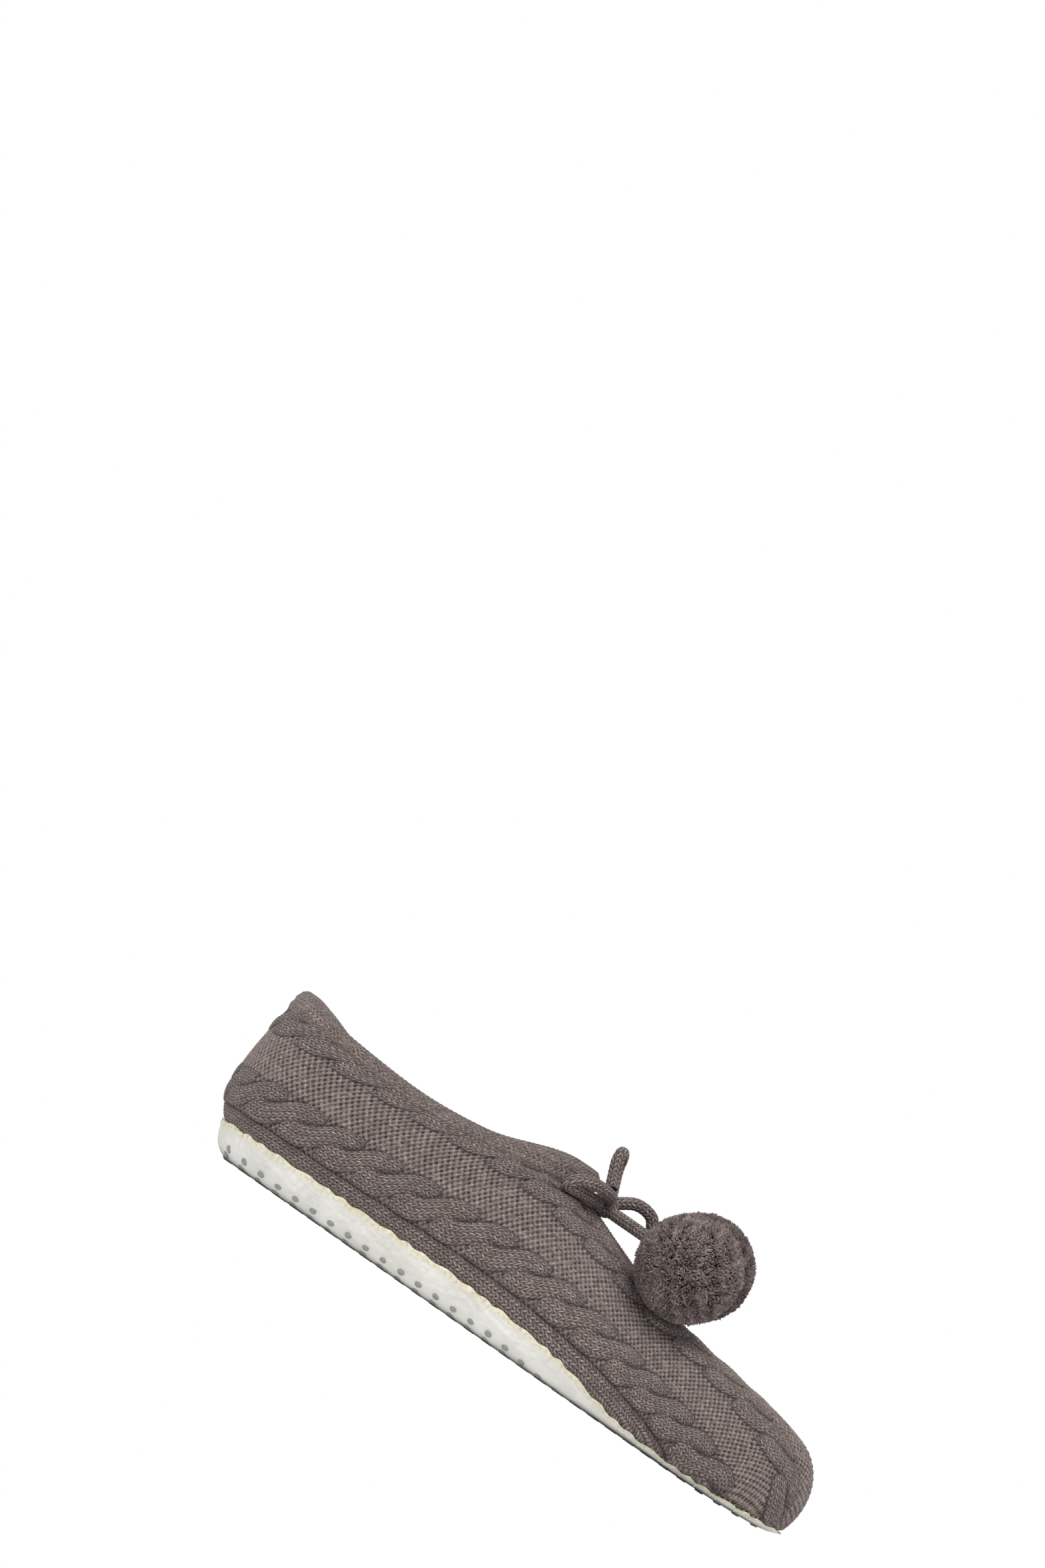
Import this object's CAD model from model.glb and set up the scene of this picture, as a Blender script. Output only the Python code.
"""Looks of the cable-knit slipper sock: knit, hem, fleece, padded sole, drawstring and pompoms.

Metres, in the CAD's frame: X from heel to toe, Y to the big toe's side, Z up from the floor.
Lengths named as in the part's source have the same values as there.
"""

import math
from collections import namedtuple

import bpy
import numpy as np
from mathutils import Matrix, Vector


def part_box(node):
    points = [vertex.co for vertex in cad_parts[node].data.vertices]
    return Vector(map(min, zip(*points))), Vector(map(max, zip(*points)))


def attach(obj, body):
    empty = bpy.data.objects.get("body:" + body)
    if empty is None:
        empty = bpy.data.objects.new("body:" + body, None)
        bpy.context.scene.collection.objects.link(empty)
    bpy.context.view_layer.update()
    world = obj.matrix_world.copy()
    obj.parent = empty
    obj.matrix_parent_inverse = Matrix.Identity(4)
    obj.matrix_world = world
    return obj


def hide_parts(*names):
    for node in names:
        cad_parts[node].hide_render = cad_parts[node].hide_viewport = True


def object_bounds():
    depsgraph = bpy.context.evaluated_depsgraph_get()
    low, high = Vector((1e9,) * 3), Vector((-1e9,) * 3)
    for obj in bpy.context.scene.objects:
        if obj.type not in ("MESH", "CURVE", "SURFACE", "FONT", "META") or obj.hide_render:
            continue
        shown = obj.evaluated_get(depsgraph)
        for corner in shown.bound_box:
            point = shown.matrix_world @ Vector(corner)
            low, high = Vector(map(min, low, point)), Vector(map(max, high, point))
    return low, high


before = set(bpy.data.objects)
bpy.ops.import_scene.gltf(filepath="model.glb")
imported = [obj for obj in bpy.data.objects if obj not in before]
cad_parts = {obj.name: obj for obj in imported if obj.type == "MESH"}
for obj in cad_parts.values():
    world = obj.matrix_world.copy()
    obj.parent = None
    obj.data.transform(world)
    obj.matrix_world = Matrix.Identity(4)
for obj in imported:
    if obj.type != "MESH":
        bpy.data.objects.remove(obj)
CAD_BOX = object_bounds()

OUTER, INNER = -1, 1  # the little toe's side, at -Y, and the big toe's side, at +Y
SIDES = ((OUTER, "outer"), (INNER, "inner"))

# Form, as in the part's source
LENGTH = 0.2440
BALL_WIDTH = 0.086
SIDE_BULGE = 0.0050
HEEL_BULGE = 0.0062
SEAM_HEIGHT = 0.0128
TOE_TIP_SHIFT = 0.0085
INSTEP_HEIGHT = 0.0620
COLLAR_DIP_HEIGHT = 0.0545
HEEL_HEIGHT = 0.0575
WALL = 0.0040
THROAT_AT = 0.1220
COLLAR_BACK_AT = -0.0050
COLLAR_WIDTH = 0.056
BAND_THICKNESS = 0.0062
BAND_HEIGHT_THROAT = 0.0105
BAND_HEIGHT_SIDE = 0.0050
BAND_HEIGHT_HEEL = 0.0088
RIB_WIDTH = 0.0078
CABLE_WIDTH = 0.0172
PANEL_WIDTH = 0.0168
CABLE_RISE = 0.0020
CABLE_PITCH = 0.0160
HEEL_SQUEEZE = 0.89
ROW_FAN_AT, ROW_FAN_DEPTH = 0.66, 0.090
SOLE_THICKNESS = 0.0032
SOLE_EDGE_INSET = 0.0105
SOLE_STEP = 0.0009
TOE_SPRING = 0.0024
ARCH_RISE = 0.0022
INSOLE_THICKNESS = 0.0030
CORD_DIAMETER = 0.0046
KNOT_LENGTH = 0.0116
KNOT_THICKNESS = 0.0092
POMPOM_DIAMETER = 0.0400
TAIL_EXIT_RISE = {"outer": -0.30, "inner": 0.85}
TAIL_ARCH = {"outer": 0.0000, "inner": 0.0046}
OUTER_LOOP = (
    (-0.0007, -0.0064, 0.0009),
    (-0.0045, -0.0155, 0.0010),
    (-0.0090, -0.0210, 0.0004),
    (-0.0134, -0.0245, -0.0010),
)
OUTER_LOOP_SPREAD = (0.30, -0.60, 0.75)
INNER_LOOP = (
    (-0.0010, 0.0020, 0.0047),
    (-0.0035, 0.0050, 0.0105),
    (-0.0050, 0.0060, 0.0145),
    (-0.0056, 0.0065, 0.0185),
)
INNER_LOOP_SPREAD = (0.20, 1.0, -0.30)
GAP = 0.0003

PlanRow = namedtuple("PlanRow", "along outer inner seam_height")
PLAN = [PlanRow(*row) for row in (
    (0.00, 0.335, 0.335, 0.92),
    (0.12, 0.345, 0.345, 0.97),
    (0.30, 0.375, 0.330, 1.02),
    (0.45, 0.430, 0.345, 1.02),
    (0.62, 0.505, 0.440, 0.74),
    (0.72, 0.520, 0.485, 0.32),
    (0.86, 0.480, 0.465, 0.20),
    (1.00, 0.420, 0.430, 0.22),
)]
RidgeRow = namedtuple("RidgeRow", "along height across")
RIDGE = [RidgeRow(*row) for row in (
    (0.500, 1.000, 0.020),
    (0.580, 0.880, 0.030),
    (0.660, 0.772, 0.040),
    (0.740, 0.705, 0.052),
    (0.820, 0.660, 0.066),
    (0.880, 0.626, 0.078),
    (0.925, 0.585, 0.088),
)]
HEEL_ROUND, HEEL_POWER = 0.135, 2.1
TOE_ROUND = {OUTER: 0.42, INNER: 0.34}
TOE_POWER = 2.15
SIDE_POWER = 1.7
INSTEP_POWER, TOE_TOP_POWER = 1.62, 2.35
TAKE_OVER = (0.30, 0.50)
TOE_TOP = (0.62, 0.92)
SAMPLES = 600

# Camera: the photograph's angle to the shoe, rolled, with the lens just above the floor
FRAME_WIDTH, FRAME_HEIGHT = 1568, 2352
METRES_PER_PIXEL = 0.000238
CAMERA_DISTANCE = 2.5
CAMERA_HEIGHT = 0.0006
CAMERA_ROLL = math.radians(35)
CAMERA_AZIMUTH = math.radians(3)  # towards the toe from square to the side
SHOE_MIDDLE_IN_FRAME = (827, 1862)
SENSOR_HEIGHT = 24.0
SKY_LIGHT, SUN_LIGHT, SUN_SPREAD = 0.6, 1.9, math.radians(35)
TOWARDS_SUN = (-0.1, -0.75, 1.0)
FLOOR_REACH = 4.0

# Knit
WALE_WIDTH = 0.0026
ROW_PITCH = 0.0019
LEG_SLANT = 1.9  # rows that a stitch's leg spans from its column's middle to its edge, times two
RIB_RELIEF = 0.0009
STRAND_RELIEF = 0.0006
WALES_IN_STRAND = 4
PURL_RELIEF = 0.0009
PURL_SIZE = 0.82  # waves of purl bumps to a stitch
BAND_RELIEF = 0.0006
BAND_WALES = 16
BAND_LEAN_IN = 0.16  # how far the hem leans over the opening, as a share of its height
HEM_OVERLAP = 0.0016  # the hem's lower edge lies over the knit's top
LINING_TUCK = 0.0020  # how far the lining runs up inside the hem
LINING_INSET = 0.0026  # from the wall's inside to the lining's lower edge on the footbed
CORD_WALES = 5
CORD_RELIEF = 0.00035
CORD_SIDES, LOOP_STEPS, TAIL_STEPS = 40, 130, 110
BAND_STATIONS, BAND_SIDES = 340, 44
KNIT_GRID = (290, 330, 150)  # stations to the throat, stations to the toe, rows
CAD_GRID = (72, 80, 36)
LINING_GRID = (110, 110, 40)

# Sole
SOLE_STATIONS = (330, 330)
SOLE_CURVE_ROWS, SOLE_FLAT_ROWS = 30, 24
FOOTBED_STATIONS = (120, 120)
FOOTBED_CURVE_ROWS, FOOTBED_FLAT_ROWS = 9, 30
GATHER_PITCH = 0.0088
GATHER_RISE = 0.0005
RIM_BULGE = 0.0010
PUCKER_DEPTH, CREASE_DEPTH = 0.00035, 0.00042
TREAD_DEPTH = 0.00015
DOT_PITCH_ALONG, DOT_PITCH_ACROSS = 0.0076, 0.0055
DOT_LENGTH, DOT_WIDTH, DOT_RISE = 0.0029, 0.0025, 0.00045
DOT_SIDES = 10
DOT_SECOND = 0.0034  # from the first row, on the sole's side, to the next one under it
DOT_FIRST_INSET = 0.0028, 0.0062  # plan distance from the rim, at the rear and at the forefoot
THREAD_PITCH, THREAD_RADIUS = 0.0024, 0.00016

# Pompoms
POMPOM_TONE = {"outer": 0.53, "inner": 0.28}
POMPOM_SEED = {"outer": 7, "inner": 11}
TUFTS = 14000
TUFT_LENGTH = 0.0048
TUFT_RADIUS = 0.00040


def eased(value, low, high):
    """0 below low, 1 above high, and smooth between."""
    t = np.clip((value - low) / (high - low), 0, 1)
    return t * t * (3 - 2 * t)


def unit(vectors):
    return vectors / np.maximum(np.linalg.norm(vectors, axis=-1, keepdims=True), 1e-12)


# Form: the same curves as the part's source


def column_at(rows, column, along):
    """One column of a table, read smoothly at shares along the foot."""
    places = np.array([row.along for row in rows])
    values = np.array([getattr(row, column) for row in rows])
    slopes = np.gradient(values, places)
    along = np.clip(along, places[0], places[-1])
    i = np.clip(np.searchsorted(places, along, side="right") - 1, 0, len(rows) - 2)
    step = places[i + 1] - places[i]
    t = (along - places[i]) / step
    start = values[i] * (1 + 2 * t) * (1 - t) ** 2 + slopes[i] * step * t * (1 - t) ** 2
    end = values[i + 1] * t * t * (3 - 2 * t) + slopes[i + 1] * step * t * t * (t - 1)
    return start + end


def end_rounding(from_end, reach, power):
    """0 at the end of the foot, rising as a superellipse to 1 at reach."""
    t = np.clip(1 - from_end / reach, 0, 1)
    return (1 - t**power) ** (1 / power)


def seam_across(x, side):
    """The seam's place across the foot, at x along it."""
    along = x / LENGTH
    column = "outer" if side == OUTER else "inner"
    width = BALL_WIDTH * column_at(PLAN, column, along)
    heel = end_rounding(x, HEEL_ROUND * LENGTH, HEEL_POWER)
    toe = end_rounding(LENGTH - x, TOE_ROUND[side] * LENGTH, TOE_POWER)
    shift = TOE_TIP_SHIFT * eased(along, 0.55, 1.0)
    return shift + side * width * heel * toe


def toe_spring(x):
    return TOE_SPRING * np.clip((x / LENGTH - 0.80) / 0.20, 0, 1) ** 2


def seam_height(x):
    return SEAM_HEIGHT * column_at(PLAN, "seam_height", x / LENGTH) + toe_spring(x)


def travelled_along(points):
    steps = np.linalg.norm(np.diff(points, axis=0), axis=1)
    return np.concatenate([[0], np.cumsum(steps)])


def read_at(wanted, places, points):
    """A curve's points, known at rising places, read at the wanted ones."""
    return np.stack([np.interp(wanted, places, c) for c in points.T], axis=-1)


def respaced(points, count):
    """The same curve with count + 1 points evenly spaced along it."""
    travelled = travelled_along(points)
    return read_at(np.linspace(0, travelled[-1], count + 1), travelled, points)


def seam_stations(side, rear, front):
    """The seam from the heel's back to the toe's tip, and the direction out of the foot at each station."""
    x = LENGTH * (1 - np.cos(np.linspace(0, math.pi, SAMPLES))) / 2
    outline = np.stack([x, seam_across(x, side)], axis=1)
    split = int(np.searchsorted(x, THROAT_AT))
    plan = np.concatenate([respaced(outline[: split + 1], rear)[:-1], respaced(outline[split:], front)])
    forward = np.gradient(plan, axis=0)
    forward[0], forward[-1] = (0, side), (0, -side)
    outward = unit(side * np.stack([-forward[:, 1], forward[:, 0]], axis=1))
    return np.column_stack([plan, seam_height(plan[:, 0])]), np.column_stack([outward, 0 * plan[:, 0]])


def collar_half_width(x):
    heel = end_rounding(x - COLLAR_BACK_AT, 0.11 * LENGTH, 2.1)
    throat = end_rounding(THROAT_AT - x, 0.22 * LENGTH, 2.1)
    return COLLAR_WIDTH / 2 * heel * throat


def collar_share(x):
    """0 at the opening's back, 1 at the throat."""
    return np.clip((x - COLLAR_BACK_AT) / (THROAT_AT - COLLAR_BACK_AT), 0, 1)


def collar_height(x):
    share = collar_share(x)
    from_heel = (HEEL_HEIGHT - COLLAR_DIP_HEIGHT) * (1 - eased(share, 0.0, 0.45))
    to_throat = (INSTEP_HEIGHT - COLLAR_DIP_HEIGHT) * eased(share, 0.45, 1.0)
    return COLLAR_DIP_HEIGHT + from_heel + to_throat


def collar_stations(side, count):
    turn = np.linspace(0, math.pi, SAMPLES)
    x = COLLAR_BACK_AT + (THROAT_AT - COLLAR_BACK_AT) * (1 - np.cos(turn)) / 2
    middle = BALL_WIDTH * RIDGE[0].across * eased(x / LENGTH, 0.1, RIDGE[0].along)
    plan = np.stack([x, middle + side * collar_half_width(x), collar_height(x)], axis=1)
    return respaced(plan, count)


def ridge_stations(count):
    """The crown line over the instep and toes, which both sides share."""
    along = np.linspace(RIDGE[0].along, RIDGE[-1].along, SAMPLES)
    height = INSTEP_HEIGHT * column_at(RIDGE, "height", along)
    across = BALL_WIDTH * column_at(RIDGE, "across", along)
    start, end = THROAT_AT, RIDGE[-1].along * LENGTH
    x = start + (end - start) * (along - along[0]) / (along[-1] - along[0])
    return respaced(np.stack([x, across, height], axis=1), count)


def side_surface(side, rear, front, rows):
    """One side of the plain form, as points [station, row, xyz] from the seam to the collar or the ridge."""
    seam, outward = seam_stations(side, rear, front)
    top = np.concatenate([collar_stations(side, rear)[:-1], ridge_stations(front)])
    t = np.linspace(0, 1, rows + 1)
    wall_in, wall_up = t**SIDE_POWER, t
    power = INSTEP_POWER + (TOE_TOP_POWER - INSTEP_POWER) * eased(seam[:, :1] / LENGTH, *TOE_TOP)
    crown_in = 1 - np.cos(t * math.pi / 2) ** (2 / power)
    crown_up = np.sin(t * math.pi / 2) ** (2 / power)
    share = eased(seam[:, 0] / LENGTH, *TAKE_OVER)[:, None]
    inwards = (1 - share) * wall_in + share * crown_in
    upwards = (1 - share) * wall_up + share * crown_up
    points = seam[:, None, :] + (top - seam)[:, None, :] * inwards[:, :, None]
    points[:, :, 2] = seam[:, 2:] + (top - seam)[:, 2:] * upwards
    fullest = np.sin(math.pi * t**0.65)[None, :, None]
    along = seam[:, 0] / LENGTH
    bulge = HEEL_BULGE + (SIDE_BULGE - HEEL_BULGE) * eased(along, 0.0, 0.12)
    bulge *= 1 - 0.30 * eased(along, 0.92, 1.0)
    return points + outward[:, None, :] * fullest * bulge[:, None, None]


def row_fan(points):
    """The angle of a knit row's plane, from upright at the ball to leaning forward at the toe."""
    return np.arctan2(points[..., 0] - ROW_FAN_AT * LENGTH, points[..., 2] + ROW_FAN_DEPTH)


def fabric_coordinates(surface, rear):
    """For each point: distances along the knit's columns, up from the seam, and from the crown line.
    Over the toes the columns keep their distance from the crown line, so the sole's seam cuts them off."""
    steps = np.linalg.norm(np.diff(surface, axis=1), axis=2)
    girth = np.concatenate([np.zeros((len(surface), 1)), np.cumsum(steps, axis=1)], axis=1)
    crown = np.concatenate([surface[rear:, -1], surface[-1, -2::-1]])
    fan, crown_fan = row_fan(surface), row_fan(crown)
    away = surface - read_at(fan, crown_fan, crown)
    chord, across = np.linalg.norm(away, axis=2), np.abs(away[..., 1])
    drop = np.sqrt(np.maximum(chord**2 - across**2, 0))
    roundness = 2 * across * drop / np.maximum(chord**2, 1e-12)
    from_crown = chord * (1 + 0.2 * roundness**4)
    ball = int(np.abs(surface[:, 0, 0] - 0.66 * LENGTH).argmin())
    toes = eased(surface[:, :, 0] / LENGTH, 0.60, 0.76)
    up = (1 - toes) * girth + toes * (girth[ball, -1] - from_crown)
    squeeze = HEEL_SQUEEZE + (1 - HEEL_SQUEEZE) * eased(surface[:, :, 0] / LENGTH, 0.10, 0.45)
    along = distance_along(surface, up, rear)
    crown_along = np.concatenate([along[rear:, -1], along[-1, -1] + np.cumsum(steps[-1, ::-1])])
    along = (1 - toes) * along + toes * np.interp(fan, crown_fan, crown_along)
    return along, up / squeeze, from_crown


def distance_along(surface, up, rear):
    """Distance along the knit's columns, growing from the heel to the toe, with 0 at the throat."""
    by_station, by_row = np.gradient(surface, axis=0), np.gradient(surface, axis=1)
    up_station, up_row = np.gradient(up, axis=0), np.gradient(up, axis=1)
    column = by_station * up_row[..., None] - by_row * up_station[..., None]
    column /= np.maximum(np.linalg.norm(column, axis=2, keepdims=True), 1e-9)
    gained = ((surface[1:] - surface[:-1]) * (column[1:] + column[:-1]) / 2).sum(axis=2)
    along = np.concatenate([0 * gained[:1], np.cumsum(gained, axis=0)])
    return along - along[rear]


def sole_floor_height(x, y):
    """The sole's underside above the floor: flat at heel and ball, raised at the arch and the toe."""
    along = x / LENGTH
    waist = eased(along, 0.26, 0.38) * (1 - eased(along, 0.44, 0.58))
    inner_half = eased(y / BALL_WIDTH, -0.05, 0.30)
    return toe_spring(x) + ARCH_RISE * waist * inner_half


def collar_ring(count):
    """The collar's edge as one loop: back from the throat on the outer side, forward on the inner."""
    outer, inner = collar_stations(OUTER, count), collar_stations(INNER, count)
    return np.concatenate([outer[::-1], inner[1:-1]])


def band_height(x):
    share = collar_share(x)
    heel = (BAND_HEIGHT_HEEL - BAND_HEIGHT_SIDE) * (1 - eased(share, 0.02, 0.22))
    throat = (BAND_HEIGHT_THROAT - BAND_HEIGHT_SIDE) * eased(share, 0.66, 0.94)
    return BAND_HEIGHT_SIDE + heel + throat


def smooth_route(points, count):
    """A smooth curve through a cord's own points, with count + 1 points evenly spaced."""
    points = np.array(points)
    padded = np.concatenate([2 * points[:1] - points[1:2], points, 2 * points[-1:] - points[-2:-1]])
    fine = []
    for i in range(1, len(padded) - 2):
        for t in np.linspace(0, 1, 12, endpoint=False):
            p0, p1, p2, p3 = padded[i - 1 : i + 3]
            bend = (2 * p0 - 5 * p1 + 4 * p2 - p3) * t * t + (3 * p1 - p0 - 3 * p2 + p3) * t**3
            fine.append(0.5 * (2 * p1 + (p2 - p0) * t + bend))
    fine.append(padded[-2])
    return respaced(np.array(fine), count)


def loop_route(knot, path, spread, count):
    """A bow loop's route: from the knot beside a middle path, round its end, and back on the other side."""
    middle = smooth_route(knot + np.array(path), 20)
    first_leg = unit(middle[5] - middle[0])
    spread = unit(np.array(spread) - np.dot(spread, first_leg) * first_leg)
    leg_gap = CORD_DIAMETER + 2 * GAP
    legs = ((0.00, -0.50), (0.35, -0.56), (0.70, -0.59), (0.93, -0.42), (1.00, 0.0))
    turns = legs + tuple((far, -across) for far, across in reversed(legs[:-1]))
    places = np.linspace(0, 1, len(middle))
    points = []
    for far, across in turns:
        points.append(read_at(far, places, middle) + spread * leg_gap * across)
    return smooth_route(points, count)


# Knit relief, from distances along and across the knit's columns


def wale(column, row):
    """Height, 0 to 1, of columns of V stitches: a column and a row are each 1 wide."""
    from_middle = np.abs(column - np.floor(column) - 0.5)
    yarn = np.sqrt(np.clip(1 - ((from_middle - 0.24) / 0.27) ** 2, 0, 1))
    legs = 0.5 + 0.5 * np.cos(math.tau * (row + LEG_SLANT * from_middle))
    return yarn * (0.68 + 0.32 * legs)


def purl(column, row):
    """Height, 0 to 1, of the knit's back: bumps laid like bricks, two to a stitch."""
    lattice = 0.5 + 0.5 * np.cos(math.tau * PURL_SIZE * row) * np.cos(math.tau * PURL_SIZE * column)
    return 1 - (1 - lattice) ** 1.6


def cable(along, across):
    """A two-strand rope cable, -1 to 1 across. Each strand crosses from the sole's side to the collar's, over
    the one before it, then dives under the next. Gives the height, 0 to 1, the place across the strand
    on top, and the light that reaches past the strand over it."""
    height, place, light = np.zeros_like(along), np.full_like(along, 2.0), np.ones_like(along)
    phase = along / CABLE_PITCH
    overlap, half_strand = 0.42, 0.56
    for turn in (-1, 0, 1):
        progress = (phase - np.floor(phase) - turn + overlap) / (1 + 2 * overlap)
        inside = (progress > 0) & (progress < 1)
        progress = np.clip(progress, 0, 1)
        centre = (2 * eased(progress, 0.22, 0.78) - 1) * (1 - half_strand)
        offset = (across - centre) / half_strand
        lift = 0.45 + 0.55 * np.sin(math.pi * progress**0.7)
        strand = np.where(inside, lift * np.sqrt(np.clip(1 - np.abs(offset) ** 2.4, 0, 1)), 0)
        on_top = strand > height
        beside = inside * eased(progress, 0.10, 0.30) * (1 - eased(offset, 0.95, 1.40)) * (offset > 0)
        light = np.where(on_top, 1, np.minimum(light, 1 - 0.72 * beside))
        place = np.where(on_top, offset, place)
        height = np.maximum(height, strand)
    return height, place, light


Knit = namedtuple("Knit", "relief light column row back")


def knit_surface(along, up, from_crown):
    """The knit at each point: how far it stands out, the light that reaches it, its stitch's column and row,
    and whether it shows the stitches' back, 1, or face, 0."""
    row = along / ROW_PITCH
    second_cable = RIB_WIDTH + CABLE_WIDTH + PANEL_WIDTH
    in_rib = up < RIB_WIDTH
    column = np.where(up > second_cable + CABLE_WIDTH, from_crown, up) / WALE_WIDTH
    back = np.where(in_rib, 0.0, 1.0)
    relief = np.where(in_rib, RIB_RELIEF * wale(column, row), PURL_RELIEF * purl(column, row))
    light = np.where(in_rib, 1.0, 0.87)
    for start in (RIB_WIDTH, second_cable):
        across = 2 * (up - start) / CABLE_WIDTH - 1
        height, place, reaches = cable(along, across)
        in_strand = (np.abs(across) < 1) & (height > 0.12)
        strand_column = (place + 1) * WALES_IN_STRAND / 2
        raised = CABLE_RISE * height
        face = raised + STRAND_RELIEF * wale(strand_column, row)
        relief = np.where(in_strand, face, relief + np.where(np.abs(across) < 1, raised, 0))
        column = np.where(in_strand, strand_column, column)
        back = np.where(in_strand, 0.0, back)
        light = np.where(np.abs(across) < 1, reaches * (0.70 + 0.30 * eased(height, 0.15, 0.75)), light)
    groove = 1 - 0.6 * (1 - eased(np.abs(up - RIB_WIDTH), 0, 0.0014))
    return Knit(relief, light * groove, column, row, back)


# Meshes


def add_object(name, data):
    made = bpy.data.objects.new(name, data)
    bpy.context.scene.collection.objects.link(made)
    return made


def mesh_piece(name, points, faces, material):
    """An object from points in the form's own coordinates."""
    mesh = bpy.data.meshes.new(name)
    mesh.from_pydata((points + SHIFT).tolist(), [], faces)
    mesh.shade_smooth()
    mesh.materials.append(material)
    piece = add_object(name, mesh)
    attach(piece, "root")
    return piece


def grid_mesh(name, points, material, closed_ends=False, closed_rows=False, flipped=False):
    """An object from points [station, row, xyz]."""
    stations, rows = points.shape[:2]
    index = np.arange(stations * rows).reshape(stations, rows)
    if closed_ends:
        index = np.concatenate([index, index[:1]])
    if closed_rows:
        index = np.concatenate([index, index[:, :1]], axis=1)
    quads = np.stack([index[:-1, :-1], index[1:, :-1], index[1:, 1:], index[:-1, 1:]], axis=-1).reshape(-1, 4)
    if flipped:
        quads = quads[:, ::-1]
    return mesh_piece(name, points.reshape(-1, 3), quads.tolist(), material)


def set_stitches(piece, knit, columns_round=0, rows_round=0):
    """Each point's stitch column and row as the piece's UV map, and its light and knit side as a colour.
    Where the piece closes on itself, the numbers run on over the join."""
    mesh = piece.data
    corners = np.empty(len(mesh.loops), dtype=np.int32)
    mesh.loops.foreach_get("vertex_index", corners)
    stitch = np.stack([knit.column.ravel(), knit.row.ravel()], axis=1)[corners].reshape(-1, 4, 2)
    for axis, whole in ((0, columns_round), (1, rows_round)):
        value = stitch[..., axis]
        value += whole * (value < value.max(axis=1, keepdims=True) - whole / 2) * (whole > 0)
    layer = mesh.uv_layers.new(name="stitches")
    layer.data.foreach_set("uv", stitch.astype(np.float32).ravel())
    set_light(mesh, knit.light.ravel(), knit.back.ravel())


def set_light(mesh, first, second):
    """Two numbers at each point, kept as a colour's red and green."""
    attribute = mesh.color_attributes.new("light", "FLOAT_COLOR", "POINT")
    values = np.stack([first, second, 0 * first, 1 + 0 * first], axis=1)
    attribute.data.foreach_set("color", values.astype(np.float32).ravel())


def side_normals(surfaces, rear):
    """Directions out of both sides, which agree where the sides meet: heel seam, crown line and toe."""
    normals = {}
    for side, points in surfaces.items():
        normals[side] = -side * unit(np.cross(np.gradient(points, axis=0), np.gradient(points, axis=1)))
    for place in (np.s_[0, :], np.s_[-1, :], np.s_[rear:, -1]):
        normals[OUTER][place] = normals[INNER][place] = unit(normals[OUTER][place] + normals[INNER][place])
    return normals


def finer(values):
    """Values [station, row] on the source's grid, read at the knit's points."""
    rear, front, rows = CAD_GRID
    before = np.linspace(0, rear, KNIT_GRID[0], endpoint=False)
    station = np.concatenate([before, np.linspace(rear, rear + front, KNIT_GRID[1] + 1)])
    by_row = read_at(np.linspace(0, rows, KNIT_GRID[2] + 1), np.arange(rows + 1), values.T).T
    return read_at(station, np.arange(rear + front + 1), by_row)


def make_knit(material):
    """The knitted outside of the upper, one piece a side."""
    rear, _, rows = KNIT_GRID
    surfaces = {side: side_surface(side, *KNIT_GRID) for side in (OUTER, INNER)}
    normals = side_normals(surfaces, rear)
    shapes, knits = {}, {}
    for side in (OUTER, INNER):
        fields = fabric_coordinates(side_surface(side, *CAD_GRID), CAD_GRID[0])
        along, up, from_crown = (finer(field) for field in fields)
        knit = knit_surface(along, up, from_crown)
        from_heel_seam = np.arange(len(up))[:, None]
        up_side = np.linspace(0, 1, rows + 1)[None, :]
        fade = eased(up_side, 0.0, 0.012) * eased(from_heel_seam, 0, 4)
        fade[: rear + 1] *= 1 - 0.75 * eased(up_side, 0.86, 0.97)
        fade *= 0.5 + 0.5 * eased(surfaces[side][:, :, 0] / LENGTH, -0.02, 0.07)
        shapes[side] = surfaces[side] + normals[side] * (knit.relief * fade)[..., None]
        knits[side] = knit
    shown = side_normals(shapes, rear)
    for side, word in SIDES:
        piece = grid_mesh(f"knit_{word}", shapes[side], material, flipped=side == INNER)
        set_stitches(piece, knits[side])
        piece.data.normals_split_custom_set_from_vertices(shown[side].reshape(-1, 3).tolist())
        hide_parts("upper")


def make_lining(material):
    """The fleece inside the upper, carried down to the footbed."""
    rear, front, _ = LINING_GRID
    surfaces = {side: side_surface(side, *LINING_GRID) for side in (OUTER, INNER)}
    normals = side_normals(surfaces, rear)
    for side, word in SIDES:
        points = surfaces[side] - normals[side] * WALL
        seam, out = seam_stations(side, rear, front)
        hem = seam - out * (WALL + LINING_INSET)
        on_footbed = sole_floor_height(hem[:, 0], hem[:, 1]) + SOLE_THICKNESS + 0.6 * INSOLE_THICKNESS
        hem[:, 2] = np.minimum(on_footbed, points[:, 0, 2])
        whole = np.concatenate([hem[:, None], points], axis=1)
        piece = grid_mesh(f"lining_{word}", whole, material, flipped=side == OUTER)
        round_opening = np.s_[: rear + 1, -1]
        in_wall = unit(normals[side][round_opening] * (1, 1, 0)) * WALL / 2
        tucked = surfaces[side][round_opening] - in_wall + (0, 0, LINING_TUCK)
        strip = np.stack([points[round_opening], tucked], axis=1)
        piece = grid_mesh(f"lining_edge_{word}", strip, material, flipped=side == OUTER)


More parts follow.
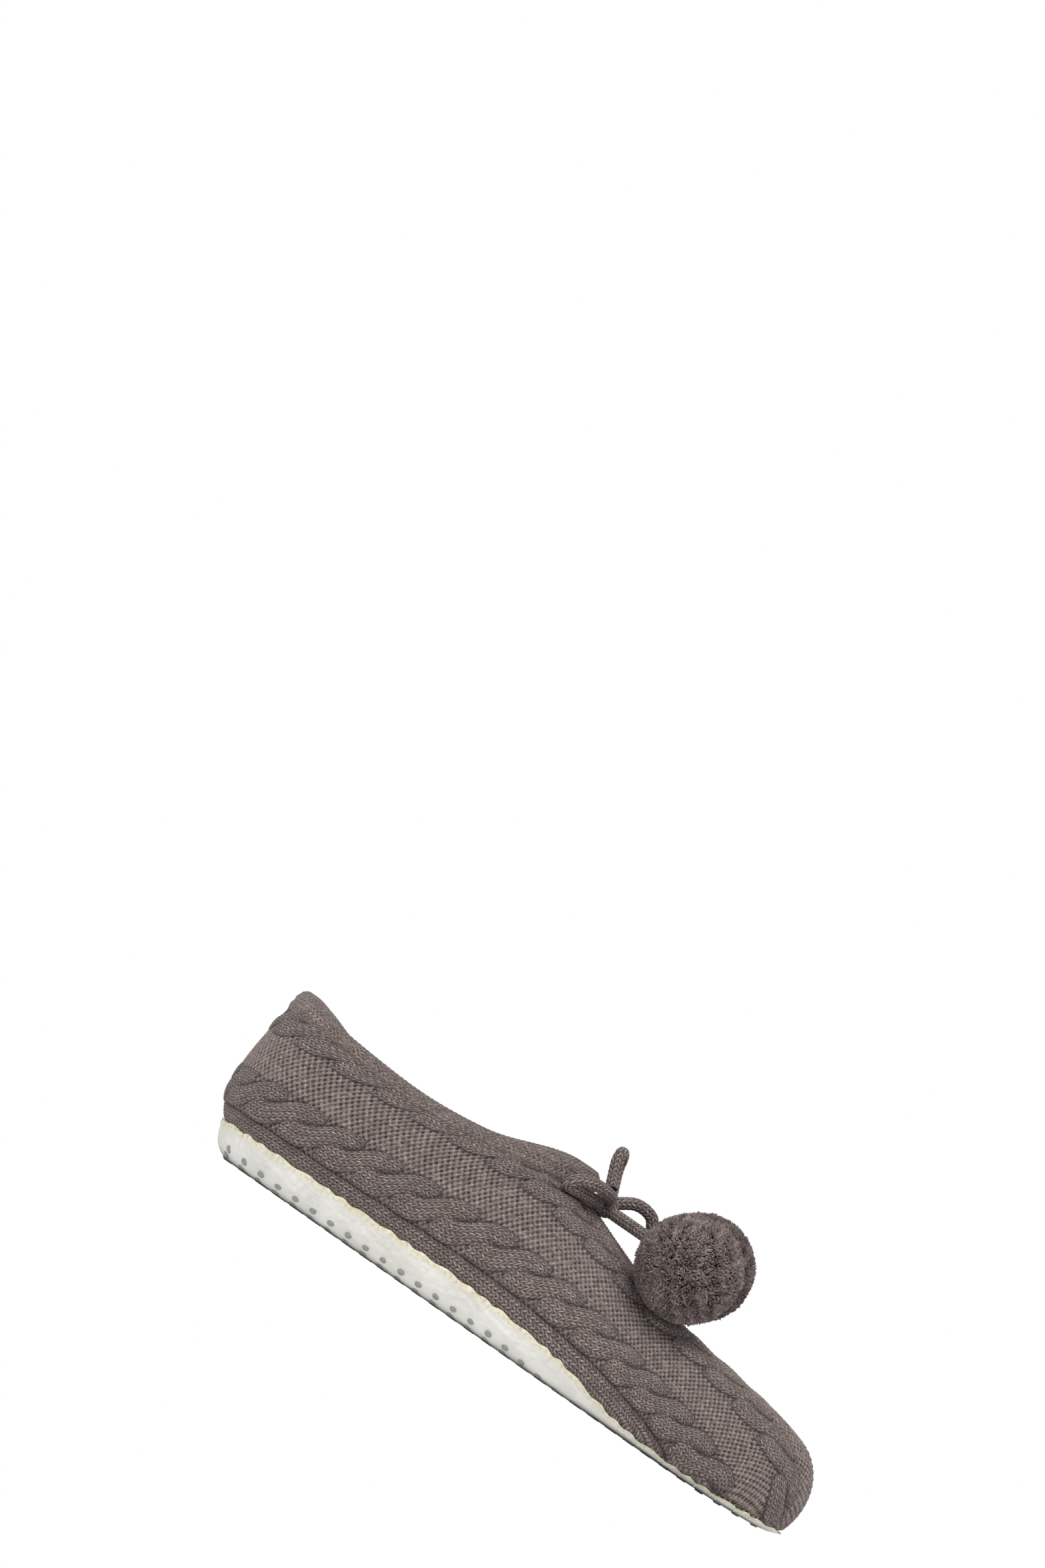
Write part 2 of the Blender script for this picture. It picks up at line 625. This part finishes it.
def make_band(material):
    """The turned hem round the opening, in which the drawstring runs."""
    ring = collar_ring(BAND_STATIONS)
    steps = np.linalg.norm(ring - np.roll(ring, 1, axis=0), axis=1)
    travelled = np.cumsum(steps) - steps[0]
    forward = np.roll(ring, -1, axis=0) - np.roll(ring, 1, axis=0)
    outward = unit(np.stack([-forward[:, 1], forward[:, 0], 0 * forward[:, 0]], axis=1))
    if ((ring - ring.mean(axis=0)) * outward).sum() < 0:
        outward = -outward
    height = band_height(ring[:, 0])[:, None]
    middle = ring - outward * WALL / 2
    sections = []
    for turn in np.linspace(0, math.tau, BAND_SIDES, endpoint=False):
        across = np.sign(math.cos(turn)) * abs(math.cos(turn)) ** 0.75 * BAND_THICKNESS / 2
        rise = (1 + np.sign(math.sin(turn)) * abs(math.sin(turn)) ** 0.8) / 2 * height
        section = middle + outward * (across - BAND_LEAN_IN * rise)
        section[:, 2] += rise[:, 0] * (1 + HEM_OVERLAP / height[:, 0]) - HEM_OVERLAP
        sections.append(section)
    points = np.stack(sections, axis=1)
    whole_rows = round(float(steps.sum()) / ROW_PITCH)
    wales = np.linspace(0, BAND_WALES, BAND_SIDES, endpoint=False)
    column, row = np.meshgrid(wales, travelled / steps.sum() * whole_rows)
    stitches = wale(column, row)
    around = unit(points - points.mean(axis=1, keepdims=True))
    knitted = points + around * (BAND_RELIEF * (stitches - 0.6))[..., None]
    piece = grid_mesh("hem", knitted, material, closed_ends=True, closed_rows=True)
    set_stitches(piece, Knit(stitches, 0 * row + 0.95, column, row, 0 * row + 0.4), BAND_WALES, whole_rows)
    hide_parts("collar_band")


def spine_points(stations):
    """Where each station's line across the sole ends: halfway between the sides, short of the round ends."""
    outer, inner = (seam_stations(side, *stations)[0][:, :2] for side in (OUTER, INNER))
    middle = (outer + inner) / 2
    x = np.clip(middle[:, 0], 0.10 * LENGTH, 0.90 * LENGTH)
    return np.stack([x, np.interp(x, middle[:, 0], middle[:, 1])], axis=1)


def puckered(x, y):
    """Soft, uneven padding, from -1 to 1."""
    small = np.sin(520 * x + 2.0 * np.sin(310 * y)) * np.sin(430 * y + 1.0)
    return 0.5 * small + 0.5 * np.sin(190 * x - 240 * y)


def gathers_along(travelled):
    """The seam's uneven gathers, from -1 to 1."""
    drift = 0.22 * np.sin(math.tau * travelled / (3.7 * GATHER_PITCH))
    size = 0.8 + 0.2 * np.sin(math.tau * travelled / (2.6 * GATHER_PITCH) + 1.0)
    return size * np.cos(math.tau * (travelled / GATHER_PITCH + drift))


def creases(travelled, turn):
    """The small slanted folds below the gathers, from -1 to 1."""
    slanted = math.tau * travelled / (0.47 * GATHER_PITCH) + 2.2 * turn
    folds = np.sin(slanted + 1.5 * np.sin(0.31 * slanted) + 0.8 * np.sin(0.13 * slanted))
    return folds * (0.6 + 0.4 * np.sin(0.23 * slanted))


def flat_rows(edge, spine, count, above_floor, unevenness, reach):
    """Rows from a pad's edge to its spine, more uneven away from the edge."""
    rows = []
    for share in np.linspace(0, 1, count)[1:]:
        flat = edge[:, :2] + (spine - edge[:, :2]) * share
        height = sole_floor_height(flat[:, 0], flat[:, 1]) + above_floor
        height += unevenness * min(1, reach * share) * (1 + puckered(flat[:, 0], flat[:, 1]))
        rows.append(np.column_stack([flat, height]))
    return rows


def make_sole(material):
    """The padded sole, one piece a side: a rim gathered by its seam, a curved side and a flat underside."""
    spine = spine_points(SOLE_STATIONS)
    for side, word in SIDES:
        seam, out = seam_stations(side, *SOLE_STATIONS)
        rim_height = seam[:, 2] - GAP
        travelled = travelled_along(seam)
        gathers = gathers_along(travelled)
        tuck = seam - out * 0.0020
        tuck[:, 2] = rim_height + 0.0004
        rows, at_rim = [tuck], [np.ones(len(seam))]
        for turn in np.linspace(0, math.pi / 2, SOLE_CURVE_ROWS):
            rim = math.exp(-((turn / 0.17) ** 2))
            ring = seam + out * (SOLE_STEP - SOLE_EDGE_INSET * (1 - math.cos(turn)))
            ring += out * (RIM_BULGE * rim * (0.75 + 0.25 * gathers))[:, None]
            low = sole_floor_height(ring[:, 0], ring[:, 1]) + TREAD_DEPTH
            ring[:, 2] = rim_height + (low - rim_height) * math.sin(turn) + GATHER_RISE * gathers * rim
            pucker = PUCKER_DEPTH * math.sin(2 * turn) * puckered(ring[:, 0], 3 * turn / 100)
            crease = CREASE_DEPTH * math.exp(-((turn / 0.75) ** 2)) * creases(travelled, turn)
            ring += out * (pucker + crease)[:, None]
            rows.append(ring)
            at_rim.append(np.full(len(seam), rim))
        underside = flat_rows(rows[-1], spine, SOLE_FLAT_ROWS, TREAD_DEPTH, 0.0002, 4)
        rows += underside
        at_rim += [np.zeros(len(seam))] * len(underside)
        piece = grid_mesh(f"sole_{word}", np.stack(rows, axis=1), material, flipped=side == OUTER)
        rims = np.stack(at_rim, axis=1).ravel()
        set_light(piece.data, 1 - 0 * rims, rims)
        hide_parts("sole")


def sole_underside(x, y, outline, rims):
    """The underside's height at a place, and the distance from there to the sole's outline."""
    from_edge = np.hypot(outline[:, 0] - x, outline[:, 1] - y)
    nearest = from_edge.argmin()
    inset = min(from_edge[nearest] / SOLE_EDGE_INSET, 1.0)
    low = float(sole_floor_height(x, y)) + TREAD_DEPTH
    return rims[nearest] + (low - rims[nearest]) * math.sin(math.acos(1 - inset)), from_edge[nearest]


def make_dots(material):
    """The sole's grip: rows of small rubber dots."""
    outline, rims = [], []
    for side in (OUTER, INNER):
        seam, out = seam_stations(side, *SOLE_STATIONS)
        outline.append(seam[:, :2] + out[:, :2] * SOLE_STEP)
        rims.append(seam[:, 2] - GAP)
    outline, rims = np.concatenate(outline), np.concatenate(rims)
    points, faces = [], []
    for x in np.arange(0.008, LENGTH - 0.004, DOT_PITCH_ALONG):
        edges = [seam_across(np.array([x]), side)[0] for side in (OUTER, INNER)]
        inset = DOT_FIRST_INSET[0] + (DOT_FIRST_INSET[1] - DOT_FIRST_INSET[0]) * eased(x / LENGTH, 0.50, 0.64)
        low, high = edges[0] + inset, edges[1] - inset
        for y in [low, *np.arange(low + DOT_SECOND, high - DOT_SECOND + 0.001, DOT_PITCH_ACROSS), high]:
            height, from_edge = sole_underside(x, y, outline, rims)
            if from_edge < inset - 0.001:
                continue
            step = 0.0005
            slope_x = (sole_underside(x + step, y, outline, rims)[0] - height) / step
            slope_y = (sole_underside(x, y + step, outline, rims)[0] - height) / step
            down = unit(np.array([slope_x, slope_y, -1.0]))
            ahead = unit(np.array([1.0, 0.0, slope_x]))
            beside = np.cross(down, ahead)
            centre, start = np.array([x, y, height]), len(points)
            for spread, rise in ((1.0, -0.8), (0.92, 0.8), (0.5, 1.0)):
                for turn in np.linspace(0, math.tau, DOT_SIDES, endpoint=False):
                    aside = DOT_LENGTH / 2 * math.cos(turn) * ahead + DOT_WIDTH / 2 * math.sin(turn) * beside
                    points.append(centre + spread * aside + down * rise * DOT_RISE)
            for low_ring in (start, start + DOT_SIDES):
                high_ring = low_ring + DOT_SIDES
                for i in range(DOT_SIDES):
                    j = (i + 1) % DOT_SIDES
                    faces.append([low_ring + i, low_ring + j, high_ring + j, high_ring + i])
            faces.append([start + 2 * DOT_SIDES + i for i in range(DOT_SIDES)])
    points = np.array(points)
    points[:, 2] = np.maximum(points[:, 2], 0.00002)
    piece = mesh_piece("grip_dots", points, faces, material)


def make_seam_thread(material):
    """The overlock thread that binds the sole's rim to the knit."""
    for side, word in SIDES:
        seam, out = seam_stations(side, 900, 900)
        travelled = travelled_along(seam)
        count = int(travelled[-1] / THREAD_PITCH * 2)
        wanted = np.linspace(0, travelled[-1], count + 1)[8:-16]
        base, away = read_at(wanted, travelled, seam), unit(read_at(wanted, travelled, out))
        high = np.arange(len(base)) % 2 == 0
        gathers = gathers_along(wanted)
        bulge = SOLE_STEP + RIM_BULGE * (0.75 + 0.25 * gathers)
        points = base + away * np.where(high, 0.0008, bulge - 0.0001)[:, None]
        points[:, 2] += np.where(high, 0.0005, -0.0016) + GATHER_RISE * gathers
        piece = tube(f"seam_thread_{word}", points, THREAD_RADIUS, material, 5)


def tube(name, route, radius, material, sides, stitched=False):
    """A round tube along a route, as a mesh. A stitched one is a knitted cord."""
    forward = unit(np.gradient(route, axis=0))
    up = np.zeros_like(route)
    up[0] = np.cross(forward[0], (0.0, 1.0, 0.3))
    for i in range(1, len(route)):
        up[i] = up[i - 1] - forward[i] * np.dot(up[i - 1], forward[i])
        up[i] /= np.linalg.norm(up[i])
    up[0] /= np.linalg.norm(up[0])
    beside = np.cross(forward, up)
    turn = np.linspace(0, math.tau, sides, endpoint=False)[None, :, None]
    around = np.cos(turn) * up[:, None] + np.sin(turn) * beside[:, None]
    if not stitched:
        return grid_mesh(name, route[:, None] + radius * around, material, closed_rows=True, flipped=True)
    wales = np.linspace(0, CORD_WALES, sides, endpoint=False)
    column, row = np.meshgrid(wales, travelled_along(route) / ROW_PITCH)
    stitches = wale(column, row)
    skin = route[:, None] + (radius + CORD_RELIEF * (stitches - 0.75))[..., None] * around
    piece = grid_mesh(name, skin, material, closed_rows=True, flipped=True)
    set_stitches(piece, Knit(stitches, 0 * row + 1, column, row, 0 * row), CORD_WALES)
    return piece


def cord_tube(name, route, material):
    return tube(name, route, CORD_DIAMETER / 2, material, CORD_SIDES, stitched=True)


def make_bow(material, pile):
    """The drawstring's bow: knot, loops, tails and pompoms."""
    knot = middle_of("bow_knot") - SHIFT
    balls = {side: middle_of(f"pompom_{side}") - SHIFT for side in ("outer", "inner")}
    pompoms = {side: make_pompom(side, ball, pile) for side, ball in balls.items()}
    for side, ball in balls.items():
        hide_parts(f"pompom_{side}")
        route = tail_route(knot, ball, side)
        piece = cord_tube(f"cord_tail_{side}", route, material)
        declare_cord(f"tail_{side}")
    loops = (("outer", OUTER_LOOP, OUTER_LOOP_SPREAD), ("inner", INNER_LOOP, INNER_LOOP_SPREAD))
    for side, path, spread in loops:
        route = loop_route(knot, path, spread, LOOP_STEPS)
        piece = cord_tube(f"cord_loop_{side}", route, material)
        declare_cord(f"loop_{side}")
    make_knot(knot, material)


def make_knot(centre, material):
    """The bow's knot: the cord wound twice round the loops' roots."""
    inner_radius = KNOT_THICKNESS / 2 - CORD_DIAMETER / 2
    for number, (aside, lean) in enumerate(((-0.0021, 0.24), (0.0022, -0.20))):
        turn = np.linspace(0, math.tau, 61)
        ring = np.stack([np.cos(turn), lean * np.cos(turn + 0.9), np.sin(turn)], axis=1) * inner_radius * 1.04
        piece = cord_tube(f"knot_wrap_{number + 1}", centre + (0, aside, 0) + ring, material)
        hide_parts("bow_knot")


def tail_route(knot, ball, side):
    """From inside the knot's skin to inside the pompom."""
    towards = unit(ball - knot)
    leaves = towards + np.array([0, 0, TAIL_EXIT_RISE[side]])
    half_knot = np.array([KNOT_THICKNESS, KNOT_LENGTH, KNOT_THICKNESS]) / 2
    start = knot + leaves * (1 / np.linalg.norm(leaves / half_knot) - 0.001)
    rim = ball - towards * POMPOM_DIAMETER / 2
    end = ball - towards * 0.004
    arch = np.array([0, 0, TAIL_ARCH[side]])
    between = [start + (rim - start) * share + arch for share in (0.35, 0.7)]
    return smooth_route([start, *between, rim, end], TAIL_STEPS)


def declare_cord(node):
    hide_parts(node)


def make_pompom(side, centre, material):
    """A ball of cut yarn: thousands of blunt tufts on a dark core."""
    rng = np.random.default_rng(POMPOM_SEED[side])
    order = np.arange(TUFTS) + 0.5
    lift, turn = np.arccos(1 - 2 * order / TUFTS), math.pi * (1 + 5**0.5) * order
    out = np.stack([np.cos(turn) * np.sin(lift), np.sin(turn) * np.sin(lift), np.cos(lift)], axis=1)
    out = unit(out + rng.normal(0, 0.02, out.shape))
    clumps = np.sin(out @ rng.normal(0, 9.0, (3, 3)) + 2.2 * np.sin(out @ rng.normal(0, 7.0, (3, 3))))
    lean = 0.45 * clumps + rng.normal(0, 0.35, out.shape)
    tone = np.clip(POMPOM_TONE[side] + 0.22 * clumps.mean(axis=1) + rng.normal(0, 0.22, TUFTS), 0, 1)
    lean -= out * (lean * out).sum(axis=1, keepdims=True)
    lean *= np.minimum(1, 0.95 / np.maximum(np.linalg.norm(lean, axis=1, keepdims=True), 1e-9))
    direction = unit(out + lean)
    reach = 0.975 + rng.normal(0, 0.012, TUFTS) + 0.012 * clumps[:, 0] * clumps[:, 1]
    tip = centre + out * (POMPOM_DIAMETER / 2 * reach)[:, None]
    root = tip - direction * TUFT_LENGTH
    beside = unit(np.cross(direction, rng.normal(0, 1, out.shape)))
    other = np.cross(direction, beside)
    rings = []
    for share, width in ((0.0, 0.5), (0.82, 1.0)):
        for angle in (0, math.tau / 3, 4 * math.pi / 3):
            aside = math.cos(angle) * beside + math.sin(angle) * other
            rings.append(root + (tip - root) * share + width * TUFT_RADIUS * aside)
    points = np.stack([*rings, tip], axis=1)
    faces = []
    for i, j in ((0, 1), (1, 2), (2, 0)):
        faces += [(i, j, 3 + j), (i, 3 + j, 3 + i)]
    faces += [(3, 4, 6), (4, 5, 6), (5, 3, 6)]
    every = (np.array(faces)[None] + 7 * np.arange(TUFTS)[:, None, None]).reshape(-1, 3)
    piece = mesh_piece(f"pompom_{side}_tufts", points.reshape(-1, 3), every.tolist(), material)
    depth = np.array([0.0, 0.0, 0.0, 0.85, 0.85, 0.85, 1.0])
    set_light(piece.data, np.tile(depth, TUFTS), np.repeat(tone, 7))
    return piece


def make_insole(material):
    """The fleece footbed on the sole: a thin soft pad with a round edge."""
    spine = spine_points(FOOTBED_STATIONS)
    for side, word in SIDES:
        seam, out = seam_stations(side, *FOOTBED_STATIONS)
        edge = seam - out * (WALL + 0.0020 + 2 * GAP)
        rows = []
        for turn in np.linspace(-math.pi / 2, math.pi / 2, FOOTBED_CURVE_ROWS):
            ring = edge + out * (INSOLE_THICKNESS / 2 * (math.cos(turn) - 1))
            low = sole_floor_height(ring[:, 0], ring[:, 1]) + SOLE_THICKNESS + GAP
            ring[:, 2] = low + INSOLE_THICKNESS / 2 * (1 + math.sin(turn))
            rows.append(ring)
        top = SOLE_THICKNESS + GAP + INSOLE_THICKNESS
        rows += flat_rows(rows[-1], spine, FOOTBED_FLAT_ROWS, top, -0.0003, 5)
        piece = grid_mesh(f"footbed_{word}", np.stack(rows, axis=1), material, flipped=side == INNER)
        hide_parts("insole")


# Materials


def linear(red, green, blue):
    """A colour as the renderer takes it, from 0 to 255 as a screen shows it."""
    channels = (c / 255 for c in (red, green, blue))
    return tuple(c / 12.92 if c < 0.04 else ((c + 0.055) / 1.055) ** 2.4 for c in channels) + (1,)


class Nodes:
    """A material's nodes, written briefly."""

    def __init__(self, name, roughness, sheen=0.0):
        self.material = bpy.data.materials.new(name)
        self.material.use_nodes = True
        self.tree = self.material.node_tree
        self.shader = self.tree.nodes["Principled BSDF"]
        self.shader.inputs["Roughness"].default_value = roughness
        self.shader.inputs["Specular IOR Level"].default_value = 0.2
        self.shader.inputs["Sheen Weight"].default_value = sheen
        self.shader.inputs["Sheen Roughness"].default_value = 0.6

    def add(self, kind, values, **settings):
        """A node with its settings, and its inputs linked or set by name or number."""
        node = self.tree.nodes.new(kind)
        for key, value in settings.items():
            setattr(node, key, value)
        for key, value in values.items():
            if isinstance(value, bpy.types.NodeSocket):
                self.tree.links.new(value, node.inputs[key])
            else:
                node.inputs[key].default_value = value
        return node

    def math(self, operation, first, second=0.0, third=0.0):
        return self.add("ShaderNodeMath", {0: first, 1: second, 2: third}, operation=operation).outputs[0]

    def cosine(self, value, turns=1.0):
        return self.math("COSINE", self.math("MULTIPLY", value, math.tau * turns))

    def wave(self, value):
        """A wave from 0 to 1 and back for each 1 of value."""
        return self.math("MULTIPLY_ADD", self.cosine(value), 0.5, 0.5)

    def noise(self, vector, scale, detail=2.0):
        values = {"Vector": vector, "Scale": scale, "Detail": detail}
        return self.add("ShaderNodeTexNoise", values).outputs["Fac"]

    def place(self):
        return self.add("ShaderNodeTexCoord", {}).outputs["Object"]

    def light(self):
        """The two numbers that set_light keeps at each point."""
        colour = self.add("ShaderNodeVertexColor", {}, layer_name="light").outputs["Color"]
        parts = self.add("ShaderNodeSeparateColor", {0: colour})
        return parts.outputs[0], parts.outputs[1]

    def ramp(self, value, *stops):
        """A colour ramp from (place, colour) stops."""
        node = self.add("ShaderNodeValToRGB", {0: value})
        elements = node.color_ramp.elements
        elements[0].position, elements[0].color = stops[0]
        elements[1].position, elements[1].color = stops[-1]
        for place, colour in stops[1:-1]:
            elements.new(place).color = colour
        return node.outputs["Color"]

    def mix(self, share, first, second):
        return self.add("ShaderNodeMix", {0: share, 6: first, 7: second}, data_type="RGBA").outputs[2]

    def finish(self, colour, height=None, strength=0.5, distance=0.0004):
        self.tree.links.new(colour, self.shader.inputs["Base Color"])
        if height is not None:
            bump = self.add("ShaderNodeBump", {"Strength": strength, "Distance": distance, "Height": height})
            self.tree.links.new(bump.outputs["Normal"], self.shader.inputs["Normal"])
        return self.material


MARL = ((0.36, linear(93, 81, 77)), (0.50, linear(145, 131, 126)), (0.64, linear(200, 186, 180)))
GROOVE = linear(46, 33, 29)  # between stitches and tufts
FLEECE = ((0.3, linear(220, 216, 208)), (0.5, linear(238, 235, 229)), (0.7, linear(248, 246, 242)))
RUBBER = ((0.3, linear(138, 140, 137)), (0.7, linear(158, 160, 157)))
THREAD = ((0.3, linear(214, 204, 160)), (0.7, linear(240, 234, 204)))
TUFT = ((0.0, linear(84, 71, 68)), (0.5, linear(118, 104, 101)), (1.0, linear(168, 154, 149)))


def stitched_yarn_material(name):
    """Marled grey yarn in V stitches or purl bumps, from each point's column and row."""
    n = Nodes(name, 0.95, sheen=0.12)
    stitch = n.add("ShaderNodeSeparateXYZ", {0: n.add("ShaderNodeUVMap", {}, uv_map="stitches").outputs[0]})
    column, row = stitch.outputs[0], stitch.outputs[1]
    light, back = n.light()
    from_middle = n.math("ABSOLUTE", n.math("SUBTRACT", n.math("FRACT", column), 0.5))
    across_leg = n.math("MULTIPLY_ADD", from_middle, LEG_SLANT, row)
    off_leg = n.math("DIVIDE", n.math("SUBTRACT", from_middle, 0.24), 0.27)
    thickness = n.math("MULTIPLY_ADD", n.math("MULTIPLY", off_leg, off_leg), -1.0, 1.0)
    yarn = n.math("SQRT", n.math("MAXIMUM", thickness, 0.0))
    legs = n.math("POWER", n.wave(across_leg), 0.5)
    face = n.math("MULTIPLY", yarn, n.math("MULTIPLY_ADD", legs, 0.8, 0.2))
    lattice = n.math("MULTIPLY", n.cosine(row, PURL_SIZE), n.cosine(column, PURL_SIZE))
    uneven = n.math("MULTIPLY_ADD", n.noise(n.place(), 420, 1.0), 1.5, 0.02)
    pits = n.math("MULTIPLY", n.math("POWER", n.math("MULTIPLY_ADD", lattice, -0.5, 0.5), 1.6), uneven)
    bumps = n.math("MAXIMUM", n.math("SUBTRACT", 1.0, pits), 0.0)
    height = n.add("ShaderNodeMix", {0: back, 2: face, 3: bumps}).outputs[0]
    sides = n.math("FLOOR", n.math("MULTIPLY", column, 2.0))
    leg = n.math("FLOOR", n.math("ADD", across_leg, 0.5))
    each_leg = n.add("ShaderNodeCombineXYZ", {0: sides, 1: leg, 2: 0.5}).outputs[0]
    tone = n.add("ShaderNodeTexWhiteNoise", {"Vector": each_leg}).outputs["Value"]
    off_fibre, on_fibre = n.math("MULTIPLY", from_middle, 3.0), n.math("MULTIPLY", across_leg, 5.0)
    each_fibre = n.add("ShaderNodeCombineXYZ", {0: off_fibre, 1: on_fibre, 2: sides}).outputs[0]
    fibres = n.noise(each_fibre, 1.0)
    specks = n.noise(n.place(), 2300)
    flecks = n.math("MULTIPLY_ADD", specks, 0.50, n.math("MULTIPLY", tone, 0.08))
    marl = n.math("MULTIPLY_ADD", fibres, 0.42, flecks)
    colour = n.ramp(marl, *MARL)
    groove = n.math("MULTIPLY_ADD", n.math("POWER", height, 1.3), 0.96, 0.04)
    shade = n.math("MULTIPLY", groove, light)
    relief = n.math("MULTIPLY_ADD", marl, 0.30, height)
    return n.finish(n.mix(shade, GROOVE, colour), relief, 0.9, 0.0005)


def pile_material():
    """Pompom tufts: each its own shade, darker towards the core."""
    n = Nodes("pompom_pile", 0.95, sheen=0.1)
    depth, tuft = n.light()
    colour = n.ramp(tuft, *TUFT)
    return n.finish(n.mix(n.math("MULTIPLY_ADD", depth, 0.6, 0.4), GROOVE, colour))


def padding_material():
    """The sole's cloth: ivory, creamier along its rim."""
    n = Nodes("ivory_padding", 0.85, sheen=0.2)
    rim = n.light()[1]
    nap = n.noise(n.place(), 700, 4.0)
    patches = n.noise(n.place(), 90)
    cloth = n.ramp(patches, (0.35, linear(219, 218, 212)), (0.65, linear(229, 228, 223)))
    cream = n.ramp(nap, (0.35, linear(214, 203, 158)), (0.65, linear(240, 236, 214)))
    quilting = n.add("ShaderNodeTexVoronoi", {"Vector": n.place(), "Scale": 330.0}).outputs["Distance"]
    relief = n.math("MULTIPLY_ADD", quilting, -1.2, nap)
    return n.finish(n.mix(n.math("MULTIPLY", rim, 0.8), cloth, cream), relief, 0.6, 0.0006)


def plain_material(name, roughness, sheen, grain, stops, strength, distance):
    """A material whose one noise is both its colour and its relief."""
    n = Nodes(name, roughness, sheen)
    height = n.noise(n.place(), *grain)
    return n.finish(n.ramp(height, *stops), height, strength, distance)


# Camera, light and floor


def middle_of(node):
    low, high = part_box(node)
    return (np.array(low) + np.array(high)) / 2


def frame_shift():
    """From the form's own coordinates, which start at the heel's seam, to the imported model's."""
    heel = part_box("sole")[0][0] + SOLE_STEP
    return np.array([heel, middle_of("bow_knot")[1] - RIDGE[0].across * BALL_WIDTH, 0.0])


def make_camera():
    low, high = (np.array(corner) for corner in CAD_BOX)
    target = Vector((low + high) / 2)
    position = target + CAMERA_DISTANCE * Vector((math.sin(CAMERA_AZIMUTH), -math.cos(CAMERA_AZIMUTH), 0))
    position.z = CAMERA_HEIGHT
    forward = (target - position).normalized()
    level = forward.cross(Vector((0, 0, 1))).normalized()
    upright = level.cross(forward)
    right = math.cos(CAMERA_ROLL) * level + math.sin(CAMERA_ROLL) * upright
    up = right.cross(forward)
    aside = (SHOE_MIDDLE_IN_FRAME[0] - FRAME_WIDTH / 2) * METRES_PER_PIXEL
    below = (SHOE_MIDDLE_IN_FRAME[1] - FRAME_HEIGHT / 2) * METRES_PER_PIXEL
    look = (target - aside * right + below * up - position).normalized()
    right = look.cross(up).normalized()
    up = right.cross(look)
    lens = bpy.data.cameras.new("camera")
    lens.sensor_fit = "VERTICAL"
    lens.sensor_height = SENSOR_HEIGHT
    lens.lens = SENSOR_HEIGHT * CAMERA_DISTANCE / (FRAME_HEIGHT * METRES_PER_PIXEL)
    camera = add_object("camera", lens)
    turn = Matrix((right, up, -look)).transposed()
    camera.matrix_world = Matrix.Translation(position) @ turn.to_4x4()
    bpy.context.scene.camera = camera


def make_studio():
    """A white world, darker to all but the camera, a soft sun and a white floor."""
    bpy.context.scene.view_settings.view_transform = "Standard"
    world = bpy.data.worlds.new("studio")
    world.use_nodes = True
    tree = world.node_tree
    backdrop, sky = tree.nodes["Background"], tree.nodes.new("ShaderNodeBackground")
    backdrop.inputs["Color"].default_value = sky.inputs["Color"].default_value = (1, 1, 1, 1)
    backdrop.inputs["Strength"].default_value, sky.inputs["Strength"].default_value = 1.0, SKY_LIGHT
    either = tree.nodes.new("ShaderNodeMixShader")
    tree.links.new(tree.nodes.new("ShaderNodeLightPath").outputs["Is Camera Ray"], either.inputs[0])
    tree.links.new(sky.outputs[0], either.inputs[1])
    tree.links.new(backdrop.outputs[0], either.inputs[2])
    tree.links.new(either.outputs[0], tree.nodes["World Output"].inputs["Surface"])
    bpy.context.scene.world = world
    light = bpy.data.lights.new("sun", "SUN")
    light.energy, light.angle = SUN_LIGHT, SUN_SPREAD
    add_object("sun", light).rotation_euler = Vector(TOWARDS_SUN).to_track_quat("Z", "Y").to_euler()
    floor_mesh = bpy.data.meshes.new("floor")
    corners = [(x * FLOOR_REACH, y * FLOOR_REACH, 0) for x, y in ((-1, -1), (1, -1), (1, 1), (-1, 1))]
    floor_mesh.from_pydata(corners, [], [(0, 1, 2, 3)])
    n = Nodes("floor_white", 1.0)
    n.shader.inputs["Base Color"].default_value = (0.97, 0.97, 0.97, 1)
    floor_mesh.materials.append(n.material)
    floor = add_object("floor", floor_mesh)


SHIFT = frame_shift()


def main():
    make_camera()
    make_studio()
    knit, cord = stitched_yarn_material("grey_knit_yarn"), stitched_yarn_material("grey_cord_yarn")
    fleece = plain_material("ivory_fleece_pile", 0.95, 0.3, (900, 4.0), FLEECE, 0.8, 0.0010)
    make_bow(cord, pile_material())
    make_knit(knit)
    make_lining(fleece)
    make_band(knit)
    make_sole(padding_material())
    make_dots(plain_material("grip_rubber", 0.6, 0.0, (900,), RUBBER, 0.2, 0.0002))
    make_seam_thread(plain_material("cream_thread", 0.8, 0.2, (2200,), THREAD, 0.5, 0.0002))
    make_insole(fleece)


main()
